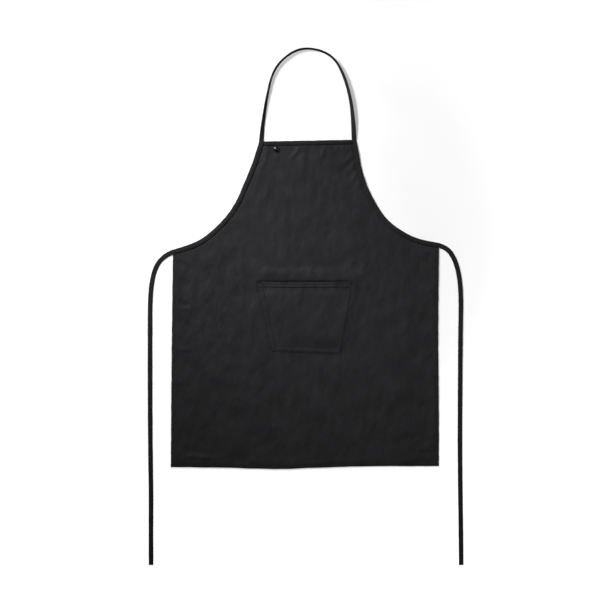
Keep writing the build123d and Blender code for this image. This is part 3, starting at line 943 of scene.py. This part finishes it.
def relief_rows(border):
    """Closer rows of points along each seam and above the pocket's mouth, where the cloth turns sharply."""
    rows = []
    for line, _, _, groove, *_ in SEAM_LINES:
        for shift in SEAM_SHIFTS:
            rows.append(even(line + inward(line) * (groove + shift), ROW_STEP))
    for shift in MOUTH_SHIFTS:
        rows.append(even([(-127, MOUTH_Y + shift), (127, MOUTH_Y + shift)], ROW_STEP))
    for a, b in zip(POCKET, POCKET[1:]):
        for shift in POCKET_SHIFTS:
            rows.append(even(np.array([a, b]) - left_of(a, b) * shift, ROW_STEP))
    points = np.vstack(rows)
    points = points[inside(points, border)]
    points = points[nearest(points, np.vstack([border, border[:1]]))[0] > 0.7]
    cells = np.floor(points / 0.6).astype(int)
    first = np.unique(cells, axis=0, return_index=True)[1]
    return points[np.sort(first)]


def clear_of_rows(points):
    """Which points of the plain net lie outside the closer rows."""
    clear = np.ones(len(points), bool)
    for line, _, _, groove, *_ in SEAM_LINES:
        gap = nearest(points, even(line, 5.0))[0]
        clear &= (gap < groove + SEAM_SHIFTS[0] - 2.0) | (gap > groove + SEAM_SHIFTS[-1] + 2.0)
    low, high = MOUTH_Y + MOUTH_SHIFTS[-1] - 2.0, MOUTH_Y + MOUTH_SHIFTS[0] + 2.0
    clear &= nearest(points, POCKET)[0] > 6.4
    beside = (points[:, 1] < low) | (points[:, 1] > high) | (np.abs(points[:, 0]) > 129)
    return clear & beside


def cloth_net():
    """A flat net of near-equal triangles that fills the outline."""
    border, moves = outline_points(PANEL_STEP)
    low, high = border.min(axis=0), border.max(axis=0)
    rows = np.arange(low[1], high[1], PANEL_STEP * 0.87)
    grid = []
    for k, y in enumerate(rows):
        xs = np.arange(low[0] + (k % 2) * PANEL_STEP / 2, high[0], PANEL_STEP)
        grid.append(np.column_stack([xs, np.full(len(xs), y)]))
    grid = np.vstack(grid)
    grid = grid[inside(grid, border)]
    closed = np.vstack([border, border[:1]])
    grid = grid[nearest(grid, closed)[0] > 0.62 * PANEL_STEP]
    grid = np.vstack([relief_rows(border), grid[clear_of_rows(grid)]])
    coords = [Vector(p) for p in np.vstack([border, grid])]
    edges = [(k, (k + 1) % len(border)) for k in range(len(border))]
    found = delaunay_2d_cdt(coords, edges, [], 1, 1e-6)
    points = np.array([tuple(v) for v in found[0]])
    if len(points) != len(coords):
        raise ValueError("the cloth's net lost points")
    points[:len(border)] += moves
    return points, [list(face) for face in found[2]], len(border)


def build_panel():
    """The cloth: the net laid out, doubled by its underside and closed along its border."""
    points, triangles, border = cloth_net()
    count = len(points)
    top = laid(np.column_stack([points, np.full(count, PANEL_TOP)]), sinking=True)
    bottom = top - np.array([0, 0, LAYER])
    bottom[:, 2] = np.maximum(bottom[:, 2], 0.05)
    top[:, 2] = np.maximum(top[:, 2], bottom[:, 2] + LAYER)
    faces = [list(t) for t in triangles] + [[i + count for i in t[::-1]] for t in triangles]
    for k in range(border):
        after = (k + 1) % border
        faces.append([after, k, k + count, after + count])
    return add_piece("apron_cloth", "body_panel", (np.vstack([top, bottom]), faces), TWILL)


cloth = build_panel()


# ---- hems and bindings ----

def swept(line, profile, trims=(0.0, 0.0), waver=None):
    """A section (inset, height) carried along an edge of the apron and laid with the cloth."""
    profile = np.asarray(profile, float)
    run = travelled(line)
    keep = (run >= trims[0]) & (run <= run[-1] - trims[1])
    normals = inward(line)[keep]
    line = line[keep]
    run = run[keep]
    sections = np.repeat(profile[None], len(line), axis=0)
    if waver is not None:
        sections = waver(sections, run)
    flat = line[:, None, :] + normals[:, None, :] * sections[..., :1]
    rings = np.concatenate([flat, sections[..., 1:]], axis=2)
    vertices, faces = tube(rings)
    return laid(vertices), faces


def hem_profile(width):
    """Cloth turned up twice to the back: a rounded outer fold, and the raw edge tucked inside."""
    nose = [
        (HEM_NOSE - HEM_NOSE * math.sin(a), 0.76 + 0.76 * math.cos(a))
        for a in np.linspace(0, math.pi, 9)
    ]
    inner = [(width + 0.5 * math.sin(a), 0.5 - 0.5 * math.cos(a)) for a in np.linspace(0, math.pi, 7)]
    inner[3] = (width - 0.3, 0.5)
    below = [(3.0, 0.0), (width / 2, 0.0), (width - 1.5, 0.0)]
    above = [(width / 2, 0.98), (2.0, 0.98), (HEM_NOSE + 0.1, 1.0)]
    return nose + below + inner + above


# a binding's upper edge: (inset from the tape's edge, height)
BINDING_LIP = [(0.7, 1.3), (0.4, 1.6), (0.4, 2.2), (0.8, 2.4), (1.7, 1.95), (2.6, 2.3)]


def binding_profile(width):
    """Tape folded round a cut edge: two pressed legs of two layers each, with the cloth between them."""
    nose = [
        (1.02 - 1.02 * math.sin(a), 1.1 + 0.9 * math.cos(a))
        for a in np.linspace(0, math.pi, 11)
    ]
    upper = [(width - inset, height) for inset, height in BINDING_LIP]
    upper += [(width * 0.62, 2.75), (width * 0.42, 2.85), (width * 0.24, 2.5)]
    lower = [
        (width * 0.22, 0.16), (width * 0.5, 0.14), (width - 2.4, 0.2), (width - 1.5, 0.34),
        (width - 0.7, 0.24), (width - 0.15, 0.36), (width, 0.7), (width - 0.2, 0.98),
    ]
    return upper + nose + lower + [(2.4, 1.0), (1.3, 1.02), (1.3, 1.48), (2.4, 1.5)]


def binding_waver(seed):
    """The tape's upper edge and crown change a little along its length, as a sewn binding's do."""
    def waver(sections, run):
        width = 1 + 0.03 * wander(run, 60.0, seed) + 0.012 * wander(run, 11.0, seed + 1)
        height = 0.07 * wander(run, 10.0, seed + 2) + 0.05 * wander(run, 34.0, seed + 3)
        sections = sections.copy()
        sections[..., 0] *= width[:, None]
        crown = smooth((sections[..., 1] - 1.5) / 0.6) * smooth(sections[..., 0] / 2.5)
        sections[..., 1] += crown * height[:, None]
        return sections
    return waver


def add_binding(name, node, line, width, seed, trim=0.0):
    """Tape bound over an edge, short of both its ends by the trim."""
    form = swept(line, binding_profile(width), (trim, trim), binding_waver(seed))
    add_piece(name, node, form, TAPE)


def add_hem(name, node, line, width, trims):
    """Cloth hemmed along an edge, short of its two ends by the trims."""
    add_piece(name, node, swept(line, hem_profile(width), trims), TWILL)


SIDE_HEM_TRIMS = (12.0, BOTTOM_HEM + 1)
add_binding("binding_left_armhole", "left_armhole_binding", LEFT_EDGE, TAPE_WIDTH, 200)
add_binding("binding_right_armhole", "right_armhole_binding", RIGHT_EDGE, TAPE_WIDTH, 210)
add_binding("binding_bib_top", "bib_top_binding", TOP_EDGE, TOP_BINDING_WIDTH, 220, 12.4)
add_hem("hem_bottom", "bottom_hem", BOTTOM_EDGE, BOTTOM_HEM, (0.0, 0.0))
add_hem("hem_left", "left_side_hem", LEFT_SIDE, SIDE_HEM, SIDE_HEM_TRIMS)
add_hem("hem_right", "right_side_hem", RIGHT_SIDE, SIDE_HEM, SIDE_HEM_TRIMS)


# ---- seams on the cloth ----

def seam_stitches(line, inset, lie, trims, seed):
    """A row of lockstitch: stitches on the front and the same on the back."""
    top, bottom, sinking = lie
    run = travelled(line)
    keep = (run >= trims[0]) & (run <= run[-1] - trims[1])
    flat = (line + inward(line) * inset)[keep]
    rows = []
    for height, facing, number in ((top, 1.0, 0), (bottom, -1.0, 1)):
        places = laid(np.column_stack([flat, np.full(len(flat), height)]), sinking and facing > 0)
        rows.append(stitch_row(places, upright(places, facing), seed=seed + number))
    return joined(rows)


def add_threads(name, node, parts):
    """Stitches as one piece, none of them below the ground."""
    vertices, faces = joined(parts)
    vertices[:, 2] = np.maximum(vertices[:, 2], 0.0)
    add_piece(name, node, (vertices, faces), THREAD)


# how a seam lies: (height of its front stitches, of its back ones, whether the front sinks with the cloth)
ON_BINDING = (2.0, 0.34, False)
ON_HEM = (PANEL_TOP, 0.02, True)
# (seam, edge, inset, how it lies, trims at its two ends, seed)
SEAMS = [
    ("left_armhole", LEFT_EDGE, 10.8, ON_BINDING, (2, 2), 300),
    ("right_armhole", RIGHT_EDGE, 10.8, ON_BINDING, (2, 2), 302),
    ("bib_top", TOP_EDGE, 9.3, ON_BINDING, (13.5, 13.5), 304),
    ("left_hem", LEFT_SIDE, HEM_SEAM, ON_HEM, (14, 9), 306),
    ("right_hem", RIGHT_SIDE, HEM_SEAM, ON_HEM, (14, 9), 308),
    ("bottom_hem", BOTTOM_EDGE, HEM_SEAM, ON_HEM, (2, 2), 310),
]
for seam, edge, inset, lie, trims, seed in SEAMS:
    stitches = seam_stitches(edge, inset, lie, trims, seed)
    add_threads(f"stitches_{seam}", f"{seam}_stitching", [stitches])


# ---- the pocket ----

POCKET_TURN = 0.8                        # thickness where the edge is turned under
POCKET_GAPE = 3.8                        # how far the mouth stands open
POCKET_SEAM = 13.0                       # where the front leaves its seams and begins to rise
SIDE_REACH = 52.0
BOTTOM_REACH = 34.0
MOUTH_SAG = 1.2                          # how far the mouth's middle hangs down
MOUTH_TURN = 0.72                        # thickness of that hem's turned layers
MOUTH_HEM = 14.5                         # depth of the mouth's turned hem, to its lower seam
HEM_STEP = 1.0                           # the front stands this much higher over the turned hem
MARGIN_PUFF = 0.5
SEAM_GROOVE = 0.3
EDGE_ROWS = (1.6, 12.0)                  # insets of the two seams round the pocket
MOUTH_ROWS = (7.5, 14.5)                 # and of the two across its mouth's hem
BORDER_STEPS = [
    0.0, 0.15, 0.45, 0.9, 1.4, 2.0, 2.8, 4.2, 5.8, 7.4,
    9.0, 10.4, 11.3, 12.0, 12.7, 13.5, 14.3, 15.1, 16.0, 17.4,
]
POCKET_MESH = 3.0


def border_spaced(length, step):
    """Places from 0 to length, close together at both ends, where the seams are."""
    ends = np.array(BORDER_STEPS)
    first = ends[-1] + 2.2
    inner = np.linspace(first, length - first, max(2, int((length - 2 * first) / step)))
    return np.concatenate([ends, inner, (length - ends)[::-1]])


def pocket_height(points):
    """Height of the pocket's front over the cloth behind it."""
    left, bottom, right, mouth = pocket_inset(points)
    sides = smooth((np.minimum(left, right) - POCKET_SEAM) / SIDE_REACH)
    rise = smooth((bottom - POCKET_SEAM) / BOTTOM_REACH)
    gape = POCKET_GAPE * sides * rise * (0.8 + 0.2 * np.exp(-mouth / 45.0))
    x, y = points[:, 0], points[:, 1]
    creases = (
        0.8 * bell(x + 14 - 0.35 * (y - 20), 7.5) * smooth((y + 22) / 40)
        + 0.35 * bell(x - 30 + 0.2 * (y - 20), 12.0) * smooth((y + 50) / 60)
        + 0.3 * bell(x + 62 + 0.2 * y, 14.0) * smooth((y + 80) / 80)
    )
    return gape + creases * smooth((bottom - 12) / 12) * smooth((np.minimum(left, right) - 14) / 20)


def ripple_along(place, pitch, length, seed):
    """Small even waves whose pitch wanders a little."""
    return np.sin(2 * np.pi * place / pitch + 2 * wander(place, length, seed))


def pocket_surface(points, offset, pressed=1.0):
    """Where a flat place on the pocket lies; only the front's upper face is pressed in at its seams."""
    points = np.asarray(points, float)
    left, bottom, right, mouth = pocket_inset(points)
    side = np.minimum(left, right)
    edge = np.minimum(side, bottom)
    along = np.where(bottom < side, points[:, 0], points[:, 1])
    seams = SEAM_GROOVE * bell(edge - EDGE_ROWS[0], 0.9) + 0.12 * bell(edge - EDGE_ROWS[1], 0.9)
    seams = seams + 0.4 * bell(mouth - MOUTH_ROWS[0], 0.9) + 0.3 * bell(mouth - 15.2, 1.0)
    puff = MARGIN_PUFF * np.where(bottom < side, 1.0, 0.4)
    puff = puff * smooth((edge - EDGE_ROWS[0]) / 2.4) * smooth((12.4 - edge) / 3.0)
    step = HEM_STEP * (1 - smooth((mouth - MOUTH_HEM + 0.4) / 1.3)) * smooth((side - 2) / 3)
    ripples = 0.10 * ripple_along(along, 9.0, 60.0, 70) * bell(edge - 7, 6)
    ripples = ripples + 0.12 * ripple_along(points[:, 0], 12.0, 80.0, 71) * bell(mouth - 11, 8)
    base = laid(np.column_stack([points, np.full(len(points), PANEL_TOP)]), sinking=True)
    base[:, 2] -= mouth_fold_at(points)[0] * 0.7
    base[:, 2] = np.maximum(base[:, 2], LAYER + 0.05)
    base[:, 2] += pocket_height(points) + offset - pressed * seams + puff + step + ripples
    base[:, 1] -= MOUTH_SAG * np.exp(-mouth / 30.0) * smooth((side - 10) / 90)
    return base


def quad_grid(across, down):
    """Flat places inside the pocket's outline: across and down are lists of insets in mm."""
    u, v = np.meshgrid(across / POCKET_WIDTH, down / POCKET_DEPTH)
    a, b, c, d = POCKET
    u, v = u.ravel()[:, None], v.ravel()[:, None]
    return (1 - v) * ((1 - u) * a + u * d) + v * ((1 - u) * b + u * c)


def quads(index, order):
    """The four-sided faces of a grid, each from its corners taken in the given order."""
    corners = [index[:-1, :-1], index[1:, :-1], index[1:, 1:], index[:-1, 1:]]
    return np.stack([corners[k] for k in order], axis=-1).reshape(-1, 4).tolist()


def slab_from_grid(top, bottom, rows, columns):
    """A closed sheet from two matching grids of points."""
    index = np.arange(rows * columns).reshape(rows, columns)
    faces = quads(index, (0, 1, 2, 3)) + quads(index + rows * columns, (0, 3, 2, 1))
    rim = np.concatenate([index[0, :], index[1:, -1], index[-1, -2::-1], index[-2:0:-1, 0]])
    for a, b in zip(rim, np.roll(rim, -1)):
        faces.append([int(a), int(b), int(b) + rows * columns, int(a) + rows * columns])
    return np.vstack([top, bottom]), faces


def rounded_edge(inset, run, least=0.0):
    """A sheet's share of its thickness near an edge that is rounded over the given run."""
    return np.sqrt(np.clip(1 - (1 - np.clip(inset, 0, run) / run) ** 2, least, 1))


def build_pocket():
    """The pocket's front, thicker where its edge is turned under."""
    across = border_spaced(POCKET_WIDTH, POCKET_MESH)
    down = border_spaced(POCKET_DEPTH, POCKET_MESH)
    flat = quad_grid(across, down)
    left, bottom, right, mouth = pocket_inset(flat)
    turned = np.minimum(np.minimum(left, right), bottom)
    thickness = LAYER + (POCKET_TURN + 0.1 - LAYER) * (1 - smooth((turned - 10.5) / 2.5))
    edge = rounded_edge(np.minimum(turned, mouth), 0.8)
    top = pocket_surface(flat, POCKET_TURN / 2 + 0.05)
    under = pocket_surface(flat, POCKET_TURN / 2 + 0.05, pressed=0.0)
    top[:, 2] += (thickness - POCKET_TURN / 2) * edge
    under[:, 2] -= np.maximum(POCKET_TURN / 2 * edge, 0.02)
    top[:, 2] = np.maximum(top[:, 2], under[:, 2] + 0.04)
    form = slab_from_grid(top, under, len(down), len(across))
    return add_piece("pocket_cloth", "pocket_front", form, TWILL)


def build_mouth_hem():
    """The mouth's edge turned twice to the inside."""
    across = np.linspace(14.5, POCKET_WIDTH - 14.5, 80)
    down = np.array([0.35, 0.6, 1.1, 2.0, 4.0, 6.0, 7.5, 9.0, 11.0, 13.0, 14.5, 15.3, 15.8, 16.0])
    flat = quad_grid(across, down)
    mouth = pocket_inset(flat)[3]
    edge = rounded_edge(np.minimum(mouth - 0.3, 16.3 - mouth), 0.6, 0.01)
    middle = pocket_surface(flat, -0.32, pressed=0.0)
    middle[:, 2] = np.maximum(middle[:, 2], 0)
    top, under = middle.copy(), middle.copy()
    top[:, 2] += MOUTH_TURN / 2 * edge
    under[:, 2] -= MOUTH_TURN / 2 * edge
    form = slab_from_grid(top, under, len(down), len(across))
    add_piece("pocket_mouth_turn", "pocket_mouth_hem", form, TWILL)


def pocket_row(places, offset, seed):
    """Stitches along flat places on the pocket's front."""
    line = pocket_surface(even(places, 2.0), offset)
    return stitch_row(line, upright(line), seed=seed)


def pocket_seams():
    """Two rows down both sides and along the bottom, and two across the mouth's hem."""
    edge_rows, mouth_rows = [], []
    top = POCKET_TURN + 0.1
    for number, inset in enumerate(EDGE_ROWS):
        line = [inset_corner(3, 0, 5.5, inset), inset_corner(0, 1, inset, inset),
                inset_corner(1, 2, inset, inset), inset_corner(2, 3, inset, 5.5)]
        edge_rows.append(pocket_row(line, top, 320 + number))
    for number, inset in enumerate(MOUTH_ROWS):
        y = POCKET[0, 1] - inset
        ends = [inset_corner(3, 0, inset, 3.5)[0], inset_corner(2, 3, 3.5, inset)[0]]
        mouth_rows.append(pocket_row([(ends[0], y), (ends[1], y)], top - 0.28, 330 + number))
    return edge_rows, mouth_rows


def inset_corner(first, second, first_inset, second_inset):
    """Where two sides of the pocket cross when each is moved inwards. Side k runs from corner k."""
    rows, sides = [], []
    for k, inset in ((first, first_inset), (second, second_inset)):
        normal = left_of(POCKET[k], POCKET[(k + 1) % 4])
        rows.append(normal)
        sides.append(normal @ POCKET[k] + inset)
    return np.linalg.solve(np.array(rows), np.array(sides))


pocket = build_pocket()
build_mouth_hem()
edge_rows, mouth_rows = pocket_seams()
add_threads("stitches_pocket_edge", "pocket_edge_stitching", edge_rows)
add_threads("stitches_pocket_mouth", "pocket_mouth_stitching", mouth_rows)


# ---- bartacks ----

BAR_PITCH = 0.55
BAR_WIDTH = 2.0
ON_TIE_ROOT = 2.38                       # height of a bartack on a tie's root


def bartack(centre, direction, length, width, height_at):
    """A bar of close zigzag stitches across a short core."""
    direction = unit(direction)
    side = np.array([-direction[1], direction[0]])
    count = int(length / BAR_PITCH)
    parts = []
    for k in range(count):
        at = np.asarray(centre, float) + direction * (k + 0.5 - count / 2) * length / count
        lean = direction * (0.3 if k % 2 else -0.3)
        ends = np.array([at - side * width / 2 - lean, at + side * width / 2 + lean])
        line = height_at(even(ends, 0.5))
        parts.append(stitch_row(line, upright(line), pitch=width, length=width, radius=0.3, seed=400 + k))
    return joined(parts)


def pocket_bars():
    """A bar across each end of the pocket's mouth."""
    def on_pocket(places):
        return pocket_surface(places, POCKET_TURN + 0.12)

    for corner, side in ((POCKET[0], 1), (POCKET[3], -1)):
        centre = (corner[0] + side * 6.8, corner[1] - 2.6)
        yield bartack(centre, (1.0, 0.0), 10.0, BAR_WIDTH, on_pocket)


def tie_bars():
    """A bar across the root of each tie."""
    def on_tape(places):
        return laid(np.column_stack([places, np.full(len(places), ON_TIE_ROOT)]))

    for route in (LEFT_TIE_ROUTE, RIGHT_TIE_ROUTE):
        direction = unit(np.subtract(route[1][:2], route[0][:2]))
        centre = np.array(route[0][:2]) - direction * 6.0
        side = np.array([-direction[1], direction[0]])
        yield bartack(centre, side, 8.6, BAR_WIDTH, on_tape)


add_threads("bartacks_pocket", "pocket_bartacks", pocket_bars())
add_threads("bartacks_ties", "tie_root_bartacks", tie_bars())


# ---- the press stud ----

def turned_form(centre, section, around, dents):
    """A section (radius, height) turned about an upright axis, very slightly out of round."""
    angles = np.linspace(0, 2 * np.pi, around, endpoint=False)
    wobble = 1 + dents * np.sin(3 * angles + 1.0)
    rings = []
    for radius, height in section:
        x = centre[0] + radius * wobble * np.cos(angles)
        y = centre[1] + radius * wobble * np.sin(angles)
        rings.append(np.column_stack([x, y, np.full(around, height)]))
    return tube(rings)


CAP_CROWN = 2.7                          # rise of the cap's middle over its rim
CAP_DOME = 6.9                           # radius of the part that rises
CAP_RADIUS = 7.25
CAP_LIP = 0.5                            # radius of the rolled rim


def cap_fall(share):
    """How much of the crown's height is lost at a share of its radius: a flat middle, then even slopes."""
    def eased(t):
        return (t + math.sqrt(t ** 2 + 0.01)) / 2
    return (eased(share - 0.35) - eased(-0.35)) / (eased(0.65) - eased(-0.35))


def build_cap():
    """A pressed cap: a rolled rim that runs up into a domed middle, on a riveted post."""
    base = PANEL_TOP + STUD_RISE
    hub = CAP_RADIUS - CAP_LIP
    section = [
        (0.01, 1.05), (2.4, 1.05), (2.4, 1.28), (1.5, 1.3),
        (1.5, base + 0.3), (6.2, base + 0.05), (hub, base),
    ]
    for a in np.linspace(0.3, math.pi, 9):
        section.append((hub + CAP_LIP * math.sin(a), base + CAP_LIP - CAP_LIP * math.cos(a)))
    for share in np.linspace(0.0, 1.0, 16)[1:]:
        radius = CAP_DOME * (1 - share)
        section.append((max(radius, 0.01), base + 1.0 + CAP_CROWN * (1 - cap_fall(radius / CAP_DOME))))
    add_piece("stud_cap", "snap_cap", turned_form(STUD, section, 64, 0.002), ENAMEL)


build_cap()
for node, material, slot in (("snap_socket", BRASS, "snap_brass"), ("snap_spring", STEEL, "spring_wire")):
    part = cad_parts[node]
    part.data.materials.clear()
    part.data.materials.append(material)


# ---- floor and light ----

FLOOR_REACH = 30.0
FLOOR_DROP = 0.0004


def add_floor():
    """A plain square, just below everything that rests on it."""
    mesh = bpy.data.meshes.new("floor")
    square = ((-1, -1), (1, -1), (1, 1), (-1, 1))
    corners = [(FLOOR_REACH * x, FLOOR_REACH * y, -FLOOR_DROP) for x, y in square]
    mesh.from_pydata(corners, [], [(0, 1, 2, 3)])
    mesh.materials.append(floor_material())
    placed("floor", mesh)


def add_softbox(name, place, aim, size, power, spread=180.0):
    """A rectangular lamp, in metres and watts, turned to its aim."""
    data = bpy.data.lights.new(name, "AREA")
    data.spread = math.radians(spread)
    data.shape = "RECTANGLE"
    data.size, data.size_y = size
    data.energy = power
    lamp = placed(name, data)
    lamp.location = place
    lamp.rotation_mode = "QUATERNION"
    lamp.rotation_quaternion = (Vector(aim) - Vector(place)).to_track_quat("-Z", "Y")


def add_world():
    """A surround that is bright along the horizon and dim overhead, which fills the shadows."""
    world = bpy.data.worlds.new("surround")
    world.use_nodes = True
    tree = world.node_tree
    background = tree.nodes["Background"]
    place = tree.nodes.new("ShaderNodeTexCoord")
    split = tree.nodes.new("ShaderNodeSeparateXYZ")
    ramp = tree.nodes.new("ShaderNodeValToRGB")
    ramp.color_ramp.elements[0].position = 0.1
    ramp.color_ramp.elements[0].color = (0.95, 0.95, 0.96, 1)
    ramp.color_ramp.elements[1].position = 0.3
    ramp.color_ramp.elements[1].color = (0.07, 0.07, 0.073, 1)
    tree.links.new(place.outputs["Generated"], split.inputs["Vector"])
    tree.links.new(split.outputs["Z"], ramp.inputs["Fac"])
    tree.links.new(ramp.outputs["Color"], background.inputs["Color"])
    background.inputs["Strength"].default_value = 1.0
    bpy.context.scene.world = world


add_floor()
add_softbox("key", (-0.92, 1.16, 0.9), (0.06, -0.06, 0.0), (0.4, 0.4), 8.9, 65.0)
add_softbox("side", (0.9, 0.3, 1.2), (0.0, 0.0, 0.0), (0.8, 0.8), 8.0)
add_world()
bpy.context.scene.view_settings.view_transform = "Standard"
